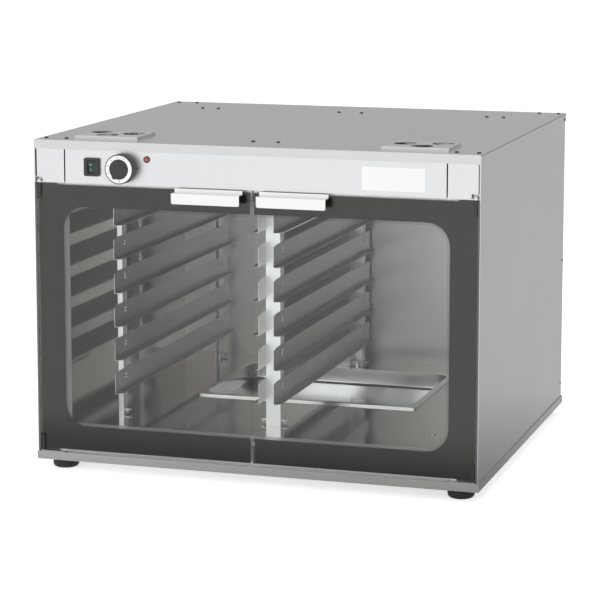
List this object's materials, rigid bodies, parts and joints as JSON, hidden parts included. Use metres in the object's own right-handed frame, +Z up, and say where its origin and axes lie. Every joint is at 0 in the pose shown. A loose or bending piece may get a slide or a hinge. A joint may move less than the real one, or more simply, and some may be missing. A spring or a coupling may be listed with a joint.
{
  "type": "dough proofer",
  "caption": "Low stainless dough proofer cabinet with paired glass doors, tray racks, a sunk water pan, a fascia with knob and switch, and oven locator plates on top.",
  "frame": {"origin": "on the floor under the middle of the whole object, handles, knob and cable gland included", "axes": "+Z up, the doors face -Y, +X to the right of someone who faces the doors"},
  "size_m": [1.034, 0.9714, 0.767],
  "materials": {
    "cabinet_steel": "satin",
    "fascia_steel": "satin",
    "liner_steel": "bright",
    "rack_steel": "satin",
    "handle_steel": "polished",
    "screw_steel": "polished",
    "pan_steel": "polished",
    "door_glass": "clear",
    "door_enamel": "fired enamel",
    "seal_rubber": "matte",
    "foot_rubber": "matte",
    "black_plastic": "satin",
    "dial_white": "satin",
    "rocker_green": "gloss",
    "lamp_amber": "gloss",
    "mineral_wool": "fibrous",
    "element_sheath": "heat stained",
    "copper_bulb": "satin"
  },
  "bodies": {
    "cabinet": {"base_insulation": "mineral_wool", "base_tray": "cabinet_steel", "cable_gland": "black_plastic", "cavity_ceiling": "liner_steel", "cavity_floor": "liner_steel", "centre_fascia": "fascia_steel", "centre_rack_left_guides": "rack_steel", "centre_rack_posts": "rack_steel", "centre_rack_right_guides": "rack_steel", "cover_screws": "screw_steel", "door_gasket": "seal_rubber", "element_saddles": "screw_steel", "feet": "foot_rubber", "floor_plugs": "screw_steel", "front_frame": "liner_steel", "heating_element": "element_sheath", "lamp_lens": "lamp_amber", "left_cavity_wall": "liner_steel", "left_door_pivots": "screw_steel", "left_fascia": "fascia_steel", "left_locator_plate": "fascia_steel", "left_rack_guides": "rack_steel", "left_rack_posts": "rack_steel", "left_side_panel": "cabinet_steel", "magnetic_catches": "black_plastic", "pan_well": "liner_steel", "pilot_lamp": "black_plastic", "rack_foot_studs": "screw_steel", "rack_wing_nuts": "screw_steel", "rear_cavity_wall": "liner_steel", "rear_insulation": "mineral_wool", "rear_panel": "cabinet_steel", "right_cavity_wall": "liner_steel", "right_door_pivots": "screw_steel", "right_fascia": "fascia_steel", "right_locator_plate": "fascia_steel", "right_side_panel": "cabinet_steel", "side_insulation": "mineral_wool", "switch_body": "black_plastic", "terminal_block": "black_plastic", "thermostat_body": "black_plastic", "thermostat_bulb": "copper_bulb", "top_cover": "cabinet_steel", "top_insulation": "mineral_wool"},
    "left_door": {"left_door_glass": "door_glass", "left_door_border": "door_enamel", "left_door_handle": "handle_steel", "left_door_handle_fixings": "screw_steel", "left_door_shoes": "black_plastic", "left_door_strike": "screw_steel"},
    "right_door": {"right_door_glass": "door_glass", "right_door_border": "door_enamel", "right_door_handle": "handle_steel", "right_door_handle_fixings": "screw_steel", "right_door_shoes": "black_plastic", "right_door_strike": "screw_steel"},
    "thermostat_knob": {"knob": "black_plastic", "knob_dial": "dial_white"},
    "power_rocker": {"rocker": "rocker_green"},
    "pan": {"water_pan": "pan_steel"}
  },
  "joints": [
    {"name": "left_door_hinge", "type": "hinge", "parent": "cabinet", "child": "left_door", "pos_m": [-0.504, -0.45185, 0.35], "axis": [0, 0, -1], "range_deg": [0, 110]},
    {"name": "right_door_hinge", "type": "hinge", "parent": "cabinet", "child": "right_door", "pos_m": [0.504, -0.45185, 0.35], "axis": [0, 0, 1], "range_deg": [0, 110]},
    {"name": "thermostat_turn", "type": "hinge", "parent": "cabinet", "child": "thermostat_knob", "pos_m": [-0.3, -0.46485, 0.7025], "axis": [0, 1, 0], "range_deg": [0, 270]},
    {"name": "rocker_tilt", "type": "hinge", "parent": "cabinet", "child": "power_rocker", "pos_m": [-0.374, -0.45586, 0.7025], "axis": [1, 0, 0], "range_deg": [-18, 0]},
    {"name": "pan_lift", "type": "slide", "parent": "cabinet", "child": "pan", "axis": [0, 0, 1], "range_m": [0, 0.046]}
  ]
}
